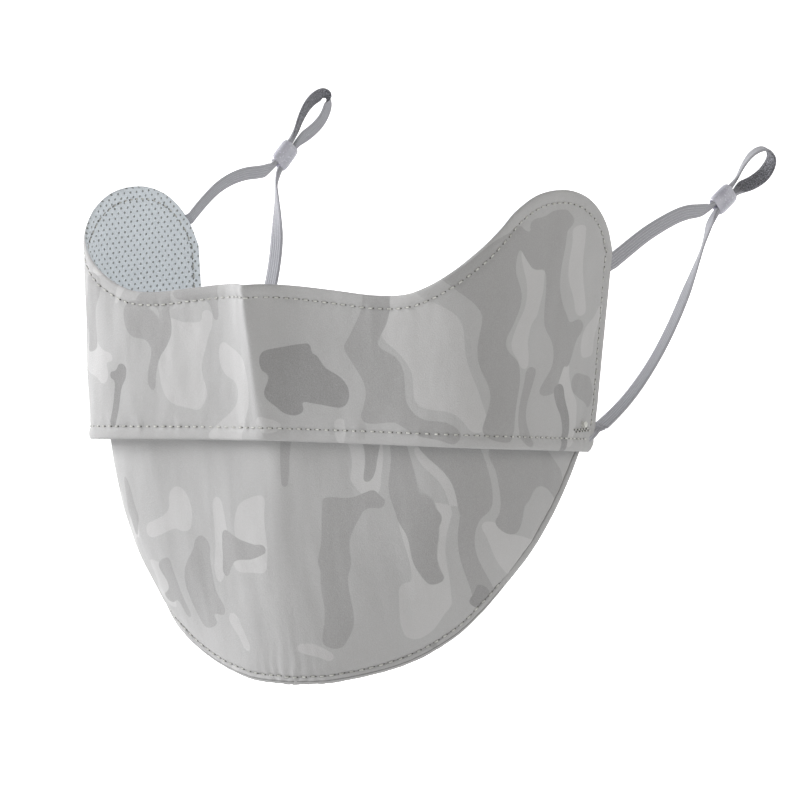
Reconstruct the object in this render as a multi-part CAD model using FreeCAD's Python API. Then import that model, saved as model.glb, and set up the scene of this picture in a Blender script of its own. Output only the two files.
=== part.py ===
"""Sun mask with raised cheek wings, a breathing flap over a chin panel, and adjustable ear loops.

Frame: millimetres, +Z up as worn, -Y is the way the wearer faces, +X is the wearer's left.
The origin is on the nose ridge, where its top edge rests on the bridge of the nose.
"""

import FreeCAD, Part
import math
import os

Vector = FreeCAD.Vector

# Cloth: two layers with a seam allowance and the elastic's sewn ends between them.
CLOTH = 0.5
SEAM_GAP = 0.6
LINING_DEPTH = CLOTH + SEAM_GAP
PANEL = LINING_DEPTH + CLOTH

# Upper band: half a plan from the nose ridge to the rear edge, at the ridge's top and at the hem.
BAND_HEIGHT = 55.5
RIDGE_PLAN = [(0, 0), (6.5, 5.2), (13, 9.2), (27, 12.6), (45, 14.8), (62, 16.8), (75, 20), (84, 25.4),
              (88.8, 33), (90.6, 44), (90.9, 60), (90.3, 82), (88.9, 104.8)]
HEM_PLAN = [(0, 11.8), (7, 14.8), (15, 16.8), (29, 18.4), (46, 19.8), (62, 21), (75, 23.6), (84.2, 28.4),
            (89, 36), (90.2, 47), (90, 62), (87.6, 83), (83.6, 103)]
# Heights along the band, against the distance from the ridge over the cloth.
BAND_HALF = 171
TOP_EDGE = [(0, 0), (8, 0.4), (20, -0.2), (34, -1.6), (50, -3.2), (62, -2.8), (71, 0.2), (80, 5.2), (89, 12),
            (98, 19.4), (107, 26.4), (120, 31.9), (136, 33.6), (149, 31.6), (159, 26.8), (166.5, 19.6),
            (BAND_HALF, 11.5)]
HEM_EDGE = [(0, -55.3), (50, -55.9), (97, -57), (BAND_HALF, -60.5)]

# Chin panel: half a plan of its top edge, and half of its lower edge, from the middle to the rear corner.
CHIN_PLAN = [(0, 16.2), (7, 18.6), (15, 20.4), (29, 22), (46, 23.4), (61, 24.8), (73, 27.8), (81, 33.4),
             (85, 41), (86, 52), (85.8, 65), (84.4, 82), (81.6, 98)]
CHIN_TOP_FRONT = -35
CHIN_TOP_REAR = -46
CHIN_EDGE = [(0, 30.6, -142.6), (19, 33.6, -141.2), (41, 42.6, -135.2), (57.5, 48.1, -126), (67, 53.1, -116.4),
             (73.5, 59.1, -106.2), (78.6, 67.6, -95), (81.4, 77.1, -82.8), (82.2, 87.1, -70), (81.8, 97.1, -57)]
CHIN_FULLNESS = 0.12
CHIN_DROP = 0.72
BINDING = 4.5
BINDING_PROUD = 0.3
BINDING_GAP = 0.1
BINDING_SEAM = 0.9

# Seams.
HEM_INSET = 4.6
THREAD = 0.55
THREAD_HEIGHT = 0.3
THREAD_SINK = 0.1

# Side tacks: the sewn corners that the chin panel swings on.
TACK_Y = 90
TACK_Z = -50
TACK_RADIUS = 1.1
TACK_HOLE = 1.6
TACK_HEAD = 2.6
TACK_HEAD_HEIGHT = 0.6
TACK_INSIDE = 79.9
TACK_OUTSIDE = 87.4
TACK_PAD_HEIGHT = 0.3

# Ear elastic, 6 mm flat braid, here as a round cord of the same section, and its two-lobed silicone bead.
STRAND = 1.15
STRAND_APART = 2.6
BEAD_LENGTH = 9.8
BEAD_LOBE = 2.75
BEAD_LOBES_APART = 2.2
BEAD_SLOT = 1.65
BEAD_ROUND = 1.35
TAIL_LENGTH = 6
TAIL_WIDTH = 5.6
TAIL_HEIGHT = 0.26
TAILS = {"left": ((BAND_HALF - 0.8, 7.6), (-1, 0)), "right": ((161.6, 22.2), (-0.707, -0.707))}
LOWER_TAIL = ((BAND_HALF - 6, -51.2), (-1, 0))

# Each side's bead, as (centre, way to the loop, way from the lower strand to the upper one).
BEADS = {
    "left": (Vector(92, 177, 29), Vector(0.23, 0.78, 0.6), Vector(-0.2, -0.55, 0.8)),
    "right": (Vector(-94.6, 170.5, 44), Vector(0.27, 0.62, 0.8), Vector(-0.2, -0.8, 0.5)),
}
# Where the elastic leaves the rear edge, and the points between there and the bead.
UPPER_RUNS = {
    "left": [Vector(89, 106.8, 8.2), Vector(89.3, 114.5, 11.6), Vector(89.6, 127, 17),
             Vector(90, 141, 21.6), Vector(90.4, 153, 24.6), Vector(91, 163, 25)],
    "right": [Vector(-89.1, 102, 22.8), Vector(-89.8, 109, 27), Vector(-91, 122.4, 33.6),
              Vector(-92, 138, 37.4), Vector(-93, 153, 38)],
}
LOWER_RUNS = {
    "left": [Vector(84.4, 105.6, -51), Vector(85, 112, -47.8), Vector(86.2, 124, -40),
             Vector(87.6, 138, -27.5), Vector(89, 150, -12.5), Vector(90, 159.5, 2.5), Vector(91, 166, 14)],
    "right": [Vector(-84.4, 105.6, -51), Vector(-85, 112, -47.8), Vector(-86.4, 126, -38.5),
              Vector(-88, 142, -22.5), Vector(-89.8, 154.4, -4.4), Vector(-91.2, 160.5, 11),
              Vector(-92.6, 162.5, 26)],
}
# The loop past the bead: distance along the bead's way, and to each side of it.
LOOP = [(8.2, 1.3), (15.6, 4.1), (22.5, 4.8)]
LOOP_TIP = (28.5, 2.3)


class Line:
    """A smooth line through points, read by its share of the length, from 0 to 1."""

    def __init__(self, points, steps=16):
        points = [Vector(*p) for p in points]
        ends = [points[0] * 2 - points[1]] + points + [points[-1] * 2 - points[-2]]
        self.line = [points[0]]
        for a, b, c, d in zip(ends, ends[1:], ends[2:], ends[3:]):
            for i in range(1, steps + 1):
                t = i / steps
                curve = (a * 2 - b * 5 + c * 4 - d) * t**2 + (b * 3 - a - c * 3 + d) * t**3
                self.line.append((b * 2 + (c - a) * t + curve) * 0.5)
        self.along = [0.0]
        for a, b in zip(self.line, self.line[1:]):
            self.along.append(self.along[-1] + (b - a).Length)

    def at(self, share):
        """The point at that share of the length."""
        want = share * self.along[-1]
        for a, b, low, high in zip(self.line, self.line[1:], self.along, self.along[1:]):
            if want <= high:
                return a + (b - a) * ((want - low) / (high - low))
        return self.line[-1]


def height(profile, distance):
    """A profile's height at that distance, on a smooth line through its points."""
    n = len(profile) - 1
    slope = []
    for i in range(n + 1):
        a, b = profile[max(i - 1, 0)], profile[min(i + 1, n)]
        slope.append((b[1] - a[1]) / (b[0] - a[0]))
    for i in range(n):
        (x0, y0), (x1, y1) = profile[i], profile[i + 1]
        if distance <= x1 or i == n - 1:
            run = x1 - x0
            t = min(max((distance - x0) / run, 0), 1)
            return (y0 * (1 + 2 * t) * (1 - t) ** 2 + slope[i] * run * t * (1 - t) ** 2
                    + y1 * t * t * (3 - 2 * t) + slope[i + 1] * run * t * t * (t - 1))


ridge_line, hem_line = Line(RIDGE_PLAN), Line(HEM_PLAN)
chin_line, edge_line = Line(CHIN_PLAN), Line(CHIN_EDGE)


def mirrored(point, side):
    return Vector(point.x * side, point.y, point.z)


def band(distance, z):
    """The band's outer face, at a distance along the cloth from the ridge (negative on -X) and a height."""
    side = 1 if distance >= 0 else -1
    share = min(abs(distance) / BAND_HALF, 1)
    low = -z / BAND_HEIGHT
    top, hem = ridge_line.at(share), hem_line.at(share)
    plan = top + (hem - top) * low
    return mirrored(Vector(plan.x, plan.y, z), side)


def chin(share, drop):
    """The chin panel's outer face.

    share runs from the -X corner, -1, to the +X corner, 1, and drop from the top edge, 0, to the lower one, 1.
    """
    side = 1 if share >= 0 else -1
    share = abs(share)
    plan, edge = chin_line.at(share), edge_line.at(share)
    top = Vector(plan.x, plan.y, CHIN_TOP_FRONT + (CHIN_TOP_REAR - CHIN_TOP_FRONT) * share**2)
    middle = top + (edge - top) * CHIN_FULLNESS
    middle.z = top.z + (edge.z - top.z) * CHIN_DROP
    point = top * (1 - drop) ** 2 + middle * 2 * drop * (1 - drop) + edge * drop**2
    return mirrored(point, side)


def outward(face, a, b, step):
    """The face's unit normal at (a, b), away from the wearer."""
    across = face(a + step, b) - face(a - step, b)
    up = face(a, b + step) - face(a, b - step)
    normal = across.cross(up)
    normal.normalize()
    centre = Vector(0, 70, -50)
    return normal if normal.dot(face(a, b) - centre) > 0 else -normal


def band_off(distance, z, depth):
    """A point that far inside the band's outer face."""
    inner = max(min(distance, BAND_HALF - 0.5), 0.5 - BAND_HALF)
    return band(distance, z) - outward(band, inner, z, 0.4) * depth


def chin_off(share, drop, depth):
    """A point that far inside the chin panel's outer face."""
    inner, lower = max(min(share, 0.99), -0.99), max(min(drop, 0.99), 0.01)
    return chin(share, drop) - outward(chin, inner, lower, 0.008) * depth


def surface(grid):
    """A smooth surface through rows of points."""
    made = Part.BSplineSurface()
    made.interpolate(grid)
    return made


def slab(outer, inner):
    """The closed solid between two grids of points of the same size."""
    front, back = surface(outer), surface(inner)
    (u0, u1, v0, v1), (p0, p1, q0, q1) = front.bounds(), back.bounds()
    pairs = [
        (front.uIso(u0), back.uIso(p0)),
        (front.uIso(u1), back.uIso(p1)),
        (front.vIso(v0), back.vIso(q0)),
        (front.vIso(v1), back.vIso(q1)),
    ]
    sides = [Part.makeRuledSurface(a.toShape(), b.toShape()) for a, b in pairs]
    shell = Part.makeShell([front.toShape(), back.toShape()] + sides)
    shell.sewShape()
    solid = Part.makeSolid(shell)
    if solid.Volume < 0:
        solid.reverse()
    return solid


def evenly(low, high, count):
    return [low + (high - low) * i / (count - 1) for i in range(count)]


def towards_ends(count):
    """Shares from -1 to 1, closer together at the ridge and at the rear edges."""
    half = [t - 0.12 * math.sin(2 * math.pi * t) / 2 for t in evenly(0, 1, count)]
    return [-t for t in reversed(half[1:])] + half


def band_sheet(shallow, deep, columns=34, rows=9):
    """One layer of the band, between two depths inside its outer face."""
    grids = []
    for depth in (shallow, deep):
        grid = []
        for share in towards_ends(columns):
            distance = share * BAND_HALF
            low, high = height(HEM_EDGE, abs(distance)), height(TOP_EDGE, abs(distance))
            grid.append([band_off(distance, z, depth) for z in evenly(low, high, rows)])
        grids.append(grid)
    return slab(*grids)


def binding_drop(share):
    """Where the chin panel's binding starts, as a drop: its width above the lower edge."""
    length = (chin(share, 1) - chin(share, 0)).Length
    return 1 - min(BINDING / length, 0.5)


def chin_sheet(shallow, deep, columns=30, rows=12):
    """One layer of the chin panel, from its top edge to its binding."""
    gap = BINDING_GAP / 100
    grids = []
    for depth in (shallow, deep):
        grid = []
        for share in towards_ends(columns):
            drops = evenly(0, binding_drop(share) - gap, rows)
            grid.append([chin_off(share, drop, depth) for drop in drops])
        grids.append(grid)
    return slab(*grids)


def chin_binding():
    """The strip of cloth folded over the chin panel's lower edge."""
    grids = []
    for depth in (-BINDING_PROUD, PANEL + BINDING_PROUD):
        grid = []
        for share in towards_ends(30):
            grid.append([chin_off(share, drop, depth) for drop in evenly(binding_drop(share), 1, 4)])
        grids.append(grid)
    return slab(*grids)


def thread(points, normals, width=THREAD):
    """A run of stitching: a flat strip along points, half sunk in the cloth."""
    outer, inner = [], []
    for i, (point, normal) in enumerate(zip(points, normals)):
        ahead = points[min(i + 1, len(points) - 1)] - points[max(i - 1, 0)]
        side = ahead.cross(normal)
        side.normalize()
        sides = [point - side * width / 2, point, point + side * width / 2]
        outer.append([p + normal * THREAD_HEIGHT for p in sides])
        inner.append([p - normal * THREAD_SINK for p in sides])
    return slab(outer, inner)


def band_thread(route):
    """Stitching along (distance, height) points on the band."""
    points = [band(*p) for p in route]
    normals = [outward(band, max(min(d, BAND_HALF - 0.5), 0.5 - BAND_HALF), z, 0.4) for d, z in route]
    return thread(points, normals)


def top_seam_route():
    """Half of the seam inside the top edge and the rear edge, from the ridge to the hem's corner."""
    route = []
    for distance in evenly(0, BAND_HALF, 60):
        step = 0.5
        rise = height(TOP_EDGE, min(distance + step, BAND_HALF)) - height(TOP_EDGE, max(distance - step, 0))
        run = min(distance + step, BAND_HALF) - max(distance - step, 0)
        length = math.hypot(rise, run)
        place = (distance + HEM_INSET * rise / length, height(TOP_EDGE, distance) - HEM_INSET * run / length)
        if place[0] < BAND_HALF - HEM_INSET and place[0] >= 0:
            route.append(place)
    low = height(HEM_EDGE, BAND_HALF) + HEM_INSET
    rear = BAND_HALF - HEM_INSET
    last = route[-1][1]
    return route + [(rear, z) for z in evenly(last - 4, low, 8)]


def edge_stitches():
    """The seam along the rear edges, round the wings and along the top."""
    half = top_seam_route()
    mirror = [(-d, z) for d, z in reversed(half[1:])]
    return band_thread(mirror + half)


def hem_stitches():
    """The seam above the band's lower hem."""
    reach = BAND_HALF - HEM_INSET
    route = [(d, height(HEM_EDGE, abs(d)) + HEM_INSET) for d in evenly(-reach, reach, 60)]
    return band_thread(route)


def hem_seam_drop(share):
    """Where the stitching through the binding lies, as a drop."""
    length = (chin(share, 1) - chin(share, 0)).Length
    return binding_drop(share) + BINDING_SEAM / length


def chin_thread(drop_of, reach, lift=0.0):
    """Stitching across the chin panel, at a drop that depends on the share."""
    shares = evenly(-reach, reach, 56)
    places = [(s, drop_of(s)) for s in shares]
    normals = [outward(chin, s, min(d, 0.99), 0.008) for s, d in places]
    return thread([chin(*p) + n * lift for p, n in zip(places, normals)], normals)


def strand_tail(start, way, side):
    """The sewn end of an elastic between the band's two layers, from near the edge inwards.

    start and way are (distance, height) pairs over the cloth of the +X half.
    """
    depth = CLOTH + (SEAM_GAP - TAIL_HEIGHT) / 2
    grids = []
    for d in (depth, depth + TAIL_HEIGHT):
        grid = []
        for along in evenly(0, TAIL_LENGTH, 5):
            row = []
            for aside in evenly(-TAIL_WIDTH / 2, TAIL_WIDTH / 2, 3):
                distance = start[0] + way[0] * along - way[1] * aside
                row.append(band_off(side * distance, start[1] + way[1] * along + way[0] * aside, d))
            grid.append(row)
        grids.append(grid)
    return slab(*grids)


def elastic_ends(name, side):
    """Both sewn ends of one side's elastic."""
    return Part.makeCompound([strand_tail(*TAILS[name], side), strand_tail(*LOWER_TAIL, side)])


def rounded_path(points):
    """Straight runs joined by tangent arcs. Returns the wire and the arcs' radii."""
    edges, radii = [], []
    start = points[0]
    for before, corner, after in zip(points, points[1:], points[2:]):
        way_in, way_out = corner - before, after - corner
        turn = way_in.getAngle(way_out)
        cut = 0.45 * min(way_in.Length, way_out.Length)
        radii.append(cut / math.tan(turn / 2))
        way_in.normalize()
        way_out.normalize()
        first, last = corner - way_in * cut, corner + way_out * cut
        back = way_out - way_in
        back.normalize()
        reach = radii[-1] / math.cos(turn / 2) - radii[-1]
        edges.append(Part.LineSegment(start, first).toShape())
        edges.append(Part.Arc(first, corner + back * reach, last).toShape())
        start = last
    edges.append(Part.LineSegment(start, points[-1]).toShape())
    return Part.Wire(edges), radii


def loop_points(side):
    """The elastic's route, from its upper end to its lower end."""
    centre, way, apart = BEADS[side]
    way = Vector(way)
    way.normalize()
    apart = apart - way * apart.dot(way)
    apart.normalize()
    half = STRAND_APART / 2
    mouth = BEAD_LENGTH / 2 + 2.6

    def place(along, aside):
        return centre + way * along + apart * aside

    upper = UPPER_RUNS[side] + [place(-mouth, half)]
    lower = [place(-mouth, -half)] + list(reversed(LOWER_RUNS[side]))
    out = [place(a, b) for a, b in LOOP] + [place(*LOOP_TIP)]
    back = [place(LOOP_TIP[0], -LOOP_TIP[1])] + [place(a, -b) for a, b in reversed(LOOP)]
    return upper + out + back + lower


def elastic(side):
    """One side's ear elastic, as a round cord along its route."""
    points = loop_points(side)
    path, radii = rounded_path(points)
    circle = Part.Wire(Part.makeCircle(STRAND, points[0], points[1] - points[0]))
    cord = path.makePipeShell([circle], True, False)
    expected = math.pi * STRAND**2 * path.Length
    print(f"{side} elastic: length {path.Length:.1f}, radii {[round(r, 1) for r in radii]},",
          f"volume {cord.Volume:.1f} of {expected:.1f}")
    return cord


def barrels():
    """The bead's outline, two round lobes side by side, before its ends are rounded and its slot is cut."""
    middle, low = BEAD_LOBES_APART / 2, -BEAD_LENGTH / 2
    waist = math.sqrt(BEAD_LOBE**2 - middle**2)
    a, b = Vector(0, waist, low), Vector(0, -waist, low)
    outline = Part.Wire([
        Part.Arc(a, Vector(middle + BEAD_LOBE, 0, low), b).toShape(),
        Part.Arc(b, Vector(-middle - BEAD_LOBE, 0, low), a).toShape(),
    ])
    return Part.Face(outline).extrude(Vector(0, 0, BEAD_LENGTH))


def slot_prism():
    """What the bead's slot removes: flat sides and round ends, longer than the bead."""
    reach, half, low = STRAND_APART / 2, BEAD_SLOT, -BEAD_LENGTH / 2 - 1
    a, b = Vector(-reach, half, low), Vector(reach, half, low)
    c, d = Vector(reach, -half, low), Vector(-reach, -half, low)
    outline = Part.Wire([
        Part.LineSegment(a, b).toShape(),
        Part.Arc(b, Vector(reach + half, 0, low), c).toShape(),
        Part.LineSegment(c, d).toShape(),
        Part.Arc(d, Vector(-reach - half, 0, low), a).toShape(),
    ])
    return Part.Face(outline).extrude(Vector(0, 0, BEAD_LENGTH + 2))


def bead(side):
    """The two-lobed silicone bead, with one slot for both strands."""
    centre, way, apart = BEADS[side]
    made = barrels()
    ends = [edge for edge in made.Edges if edge.BoundBox.ZLength < 0.001]
    made = made.makeFillet(BEAD_ROUND, ends).cut(slot_prism())
    way = Vector(way)
    way.normalize()
    apart = apart - way * apart.dot(way)
    apart.normalize()
    third = way.cross(apart)
    turn = FreeCAD.Matrix(apart.x, third.x, way.x, centre.x, apart.y, third.y, way.y, centre.y,
                          apart.z, third.z, way.z, centre.z, 0, 0, 0, 1)
    made.Placement = FreeCAD.Placement(turn)
    return made


def tack_cylinder(side, start, end, radius):
    """A cylinder on the tacks' axis, between two distances from the middle plane."""
    return Part.makeCylinder(radius, end - start, Vector(side * start, TACK_Y, TACK_Z), Vector(side, 0, 0))


def side_tack(side):
    """The thread bar that holds the chin panel's corner to the band, with a knotted head inside."""
    outside = TACK_OUTSIDE + TACK_PAD_HEIGHT
    shank = tack_cylinder(side, TACK_INSIDE, outside, TACK_RADIUS)
    head = tack_cylinder(side, TACK_INSIDE, TACK_INSIDE + TACK_HEAD_HEIGHT, TACK_HEAD)
    return shank.fuse(head).removeSplitter()


def tack_holes(shape, radius):
    """The shape with the holes that the side tacks pass through."""
    for side in (-1, 1):
        shape = shape.cut(tack_cylinder(side, 65, 95, radius))
    return shape


def write(name, shape):
    solids = shape.Solids
    good = all(s.isValid() and s.Volume > 0 for s in solids)
    box = shape.BoundBox
    volume = sum(s.Volume for s in solids)
    print(f"{name}: {len(solids)} solids, {'valid' if good else 'NOT VALID'}, {volume:.1f} mm3,",
          f"x {box.XMin:.1f} {box.XMax:.1f} y {box.YMin:.1f} {box.YMax:.1f} z {box.ZMin:.1f} {box.ZMax:.1f}")
    shape.exportStep(f"parts/{name}.step")


def main():
    os.makedirs("parts", exist_ok=True)
    write("band_outer", tack_holes(band_sheet(0, CLOTH), TACK_RADIUS))
    write("band_lining", tack_holes(band_sheet(LINING_DEPTH, PANEL), TACK_RADIUS))
    write("band_edge_stitches", edge_stitches())
    write("band_hem_stitches", hem_stitches())
    write("chin_outer", tack_holes(chin_sheet(0, CLOTH), TACK_HOLE))
    write("chin_lining", tack_holes(chin_sheet(LINING_DEPTH, PANEL), TACK_HOLE))
    write("chin_binding", chin_binding())
    write("chin_hem_stitches", chin_thread(hem_seam_drop, 0.97, BINDING_PROUD))
    write("chin_top_stitches", chin_thread(lambda s: 0.035, 0.93))
    for side, sign in (("left", 1), ("right", -1)):
        write(f"ear_elastic_{side}", elastic(side))
        write(f"elastic_ends_{side}", elastic_ends(side, sign))
        write(f"ear_bead_{side}", bead(side))
        write(f"side_tack_{side}", side_tack(sign))


main()
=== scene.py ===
"""Looks of the camouflage sun mask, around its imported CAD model.

Shapes are worked out in millimetres and turned into metres in each object.
"""

import math
import random

import bpy
import numpy as np
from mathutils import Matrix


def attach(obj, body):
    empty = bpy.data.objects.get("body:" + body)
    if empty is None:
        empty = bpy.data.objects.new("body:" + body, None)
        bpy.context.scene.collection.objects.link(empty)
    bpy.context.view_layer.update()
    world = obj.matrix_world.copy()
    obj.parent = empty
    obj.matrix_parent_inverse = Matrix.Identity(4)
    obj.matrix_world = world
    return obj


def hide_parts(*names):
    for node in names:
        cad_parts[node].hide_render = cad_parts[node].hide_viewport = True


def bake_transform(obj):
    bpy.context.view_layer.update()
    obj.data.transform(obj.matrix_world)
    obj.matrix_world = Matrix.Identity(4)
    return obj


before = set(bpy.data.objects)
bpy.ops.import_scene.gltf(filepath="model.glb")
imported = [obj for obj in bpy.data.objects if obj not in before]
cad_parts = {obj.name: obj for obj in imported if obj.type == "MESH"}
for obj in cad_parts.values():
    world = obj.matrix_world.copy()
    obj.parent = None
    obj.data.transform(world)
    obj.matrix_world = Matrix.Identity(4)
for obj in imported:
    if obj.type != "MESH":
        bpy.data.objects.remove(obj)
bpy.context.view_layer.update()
random.seed(7)
MM = 0.001


def unit(v):
    v = np.asarray(v, float)
    return v / np.linalg.norm(v)


# Camera: its place round the object, in degrees and millimetres, and how much the picture takes in across.
AZIMUTH = math.radians(33)
ELEVATION = math.radians(2)
DISTANCE = 3500
FIELD = 288
SENSOR_WIDTH = 36
CLIP_END = 50
TO_CAMERA = np.array([math.sin(AZIMUTH) * math.cos(ELEVATION), -math.cos(AZIMUTH) * math.cos(ELEVATION),
                      math.sin(ELEVATION)])
RIGHT = np.array([math.cos(AZIMUTH), math.sin(AZIMUTH), 0])
UP = np.cross(TO_CAMERA, RIGHT)
# The picture's middle, from the top of the nose ridge.
TARGET = RIGHT * 56.5 - UP * 40.3 - TO_CAMERA * 75


def make_camera():
    data = bpy.data.cameras.new("camera")
    data.sensor_width = SENSOR_WIDTH
    data.lens = SENSOR_WIDTH * DISTANCE / FIELD
    data.clip_end = CLIP_END
    camera = bpy.data.objects.new("camera", data)
    bpy.context.collection.objects.link(camera)
    camera.location = (TARGET + TO_CAMERA * DISTANCE) * MM
    camera.rotation_euler = (math.pi / 2 - ELEVATION, 0, AZIMUTH)
    bpy.context.scene.camera = camera


make_camera()


# ---- materials ----

class Nodes:
    """A material and its node tree, built with one short call per node."""

    def __init__(self, name, **sockets):
        self.material = bpy.data.materials.new(name)
        self.material.use_nodes = True
        self.tree = self.material.node_tree
        self.shader = self.tree.nodes["Principled BSDF"]
        self.set(**sockets)

    def set(self, **sockets):
        for name, value in sockets.items():
            socket = self.shader.inputs[name.replace("_", " ")]
            if hasattr(value, "is_output"):
                self.tree.links.new(value, socket)
            else:
                socket.default_value = value

    def node(self, kind, inputs=(), output=0, **settings):
        made = self.tree.nodes.new(kind)
        for name, value in settings.items():
            setattr(made, name, value)
        for key, value in dict(inputs).items():
            if hasattr(value, "is_output"):
                self.tree.links.new(value, made.inputs[key])
            else:
                made.inputs[key].default_value = value
        return made.outputs[output]

    def math(self, operation, a, b=0.0, c=0.0):
        return self.node("ShaderNodeMath", {0: a, 1: b, 2: c}, operation=operation)

    def attribute(self, name):
        return self.node("ShaderNodeAttribute", output="Fac", attribute_name=name)

    def noise(self, vector, scale, detail=2.0, roughness=0.5):
        inputs = {"Vector": vector, "Scale": scale, "Detail": detail, "Roughness": roughness}
        return self.node("ShaderNodeTexNoise", inputs)

    def mix(self, share, a, b):
        return self.node("ShaderNodeMix", {0: share, 6: a, 7: b}, output=2, data_type="RGBA")

    def scaled(self, vector, x, y, z):
        return self.node("ShaderNodeMapping", {"Vector": vector, "Scale": (x, y, z)})

    def step(self, value, low, high):
        """0 below low, 1 above high, smooth between."""
        inputs = {"Value": value, "From Min": low, "From Max": high}
        return self.node("ShaderNodeMapRange", inputs, interpolation_type="SMOOTHSTEP")

    def bump(self, height, strength, distance, under=None):
        inputs = {"Height": height, "Strength": strength, "Distance": distance}
        if under is not None:
            inputs["Normal"] = under
        return self.node("ShaderNodeBump", inputs)

    def place(self):
        return self.node("ShaderNodeTexCoord", output="Object")

    def cloth_axes(self):
        """The two coordinates that grid_mesh, ribbon and stitches store on a mesh, in millimetres."""
        first = self.node("ShaderNodeSeparateXYZ", {0: self.node("ShaderNodeUVMap", uv_map="cloth")})
        return first, first.node.outputs[1]


def grey(level):
    return (level, level, level, 1)


# Colours, each linear red, green, blue and alpha.
PRINT_LIGHT = (0.452, 0.447, 0.442, 1)
PRINT_MID = (0.386, 0.382, 0.378, 1)
PRINT_DARK = (0.308, 0.304, 0.3, 1)
PRINT_DARKEST = (0.248, 0.245, 0.242, 1)
# Painted shade: the dark line for the gap between the chin panel's layers at its strip.
SEAM_SHADE = (0.06, 0.06, 0.055, 1)
LINING_LOW = (0.62, 0.665, 0.7, 1)
LINING_HIGH = (0.72, 0.755, 0.785, 1)
# The holes: the cloth behind them, darker with painted shade.
LINING_HOLE_SHADE = (0.27, 0.29, 0.275, 1)
BRAID_LOW = (0.45, 0.45, 0.475, 1)
BRAID_HIGH = (0.7, 0.7, 0.73, 1)
# Painted shade for the grooves between the braid's ribs.
BRAID_GROOVE_SHADE = (0.33, 0.33, 0.355, 1)
# The braid's inner face inside the loop: darker cloth, and painted shade.
BRAID_INNER_SHADED_LOW = (0.09, 0.09, 0.1, 1)
BRAID_INNER_SHADED_HIGH = (0.33, 0.33, 0.36, 1)
THREAD_LOW = (0.52, 0.52, 0.48, 1)
THREAD_HIGH = (0.72, 0.72, 0.68, 1)
# Painted shade for the thread's ply grooves.
THREAD_GROOVE_SHADE = (0.3, 0.3, 0.27, 1)
# Painted shade where a stitch's ends go into the cloth.
THREAD_END_SHADE = (0.07, 0.07, 0.06, 1)
BEAD_LOW = (0.52, 0.515, 0.57, 1)
BEAD_HIGH = (0.6, 0.595, 0.65, 1)
# How softly one tone of the print meets the next, in millimetres to each side.
PRINT_EDGE = 0.16
# The loops of the knits, in metres.
CAMO_KNIT = 0.00042
LINING_KNIT = 0.0005
# The lining's holes, the braid's ribs and stitches and the thread's twist, in millimetres.
LINING_COLUMN = 3.9
LINING_ROW = 1.75
LINING_SLANT = 0.06
HOLE_INNER = 0.26
HOLE_OUTER = 0.5
RIB_PITCH = 0.95
BRAID_STITCH = 0.62
PLY_PITCH = 0.42


def weave(n, vector, size):
    """A fine knit's surface, as one value: rows of small loops, a little uneven."""
    along, across = 1 / size, 0.8 / size
    loops = n.node("ShaderNodeTexVoronoi", {"Vector": n.scaled(vector, along, across, across), "Scale": 1.0})
    return n.math("ADD", loops, n.math("MULTIPLY", n.noise(vector, 0.5 / size, 3.0), 0.6))


def camo_material():
    """Matt printed knit: each tone covers the ones before it where its own stored field is above zero."""
    n = Nodes("camo_cloth", Roughness=0.82)
    colour = PRINT_MID
    for tone, shade in (("light", PRINT_LIGHT), ("dark", PRINT_DARK), ("darkest", PRINT_DARKEST)):
        colour = n.mix(n.step(n.attribute(f"camo_{tone}"), -PRINT_EDGE, PRINT_EDGE), colour, shade)
    # Painted shade: darkens the line where the gap at the chin's strip would lie in shadow.
    colour = n.mix(n.attribute("gap_shade"), colour, SEAM_SHADE)
    place = n.place()
    fleck = n.noise(place, 2600.0, 3.0, 0.7)
    colour = n.mix(n.math("MULTIPLY", n.step(fleck, 0.35, 0.7), 0.13), colour, grey(0.7))
    tone = n.noise(place, 26.0, 3.0)
    colour = n.mix(n.math("MULTIPLY", n.step(tone, 0.35, 0.75), 0.06), colour, grey(0.16))
    surface = weave(n, place, CAMO_KNIT)
    n.set(Base_Color=colour, Roughness=n.math("MULTIPLY_ADD", fleck, 0.12, 0.76),
          Normal=n.bump(surface, 0.32, 0.00018, n.bump(tone, 0.25, 0.0012)))
    n.set(Sheen_Weight=0.16, Sheen_Roughness=0.5, Specular_IOR_Level=0.28)
    return n.material


def lining_material():
    """Pale knit with rows of small pierced holes, each row set half a step along, the holes painted darker:
    the cloth behind them, with painted shade.
    """
    n = Nodes("mesh_lining", Roughness=0.78)
    place = n.place()
    along, height_up = n.cloth_axes()
    row = n.math("MULTIPLY", n.math("MULTIPLY_ADD", along, LINING_SLANT, height_up), 1 / LINING_ROW)
    shift = n.math("MULTIPLY", n.math("FLOORED_MODULO", n.math("FLOOR", row), 2.0), 0.5)
    column = n.math("ADD", n.math("MULTIPLY", along, 1 / LINING_COLUMN), shift)
    across = n.math("MULTIPLY", n.math("SUBTRACT", n.math("FRACT", column), 0.5), LINING_COLUMN * 0.75)
    up = n.math("MULTIPLY", n.math("SUBTRACT", n.math("FRACT", row), 0.5), LINING_ROW)
    far = n.math("SQRT", n.math("ADD", n.math("MULTIPLY", across, across), n.math("MULTIPLY", up, up)))
    wobble = n.math("MULTIPLY", n.math("SUBTRACT", n.noise(place, 1500.0), 0.5), 0.2)
    solid = n.step(n.math("ADD", far, wobble), HOLE_INNER, HOLE_OUTER)
    knit = weave(n, place, LINING_KNIT)
    cloth = n.mix(n.step(n.noise(place, 1800.0, 3.0), 0.3, 0.75), LINING_LOW, LINING_HIGH)
    # The holes are painted darker: the cloth behind them, with painted shade.
    n.set(Base_Color=n.mix(solid, LINING_HOLE_SHADE, cloth),
          Normal=n.bump(knit, 0.35, 0.0002, n.bump(solid, 0.9, 0.0004)))
    n.set(Sheen_Weight=0.12, Sheen_Roughness=0.5, Specular_IOR_Level=0.3)
    return n.material


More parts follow.
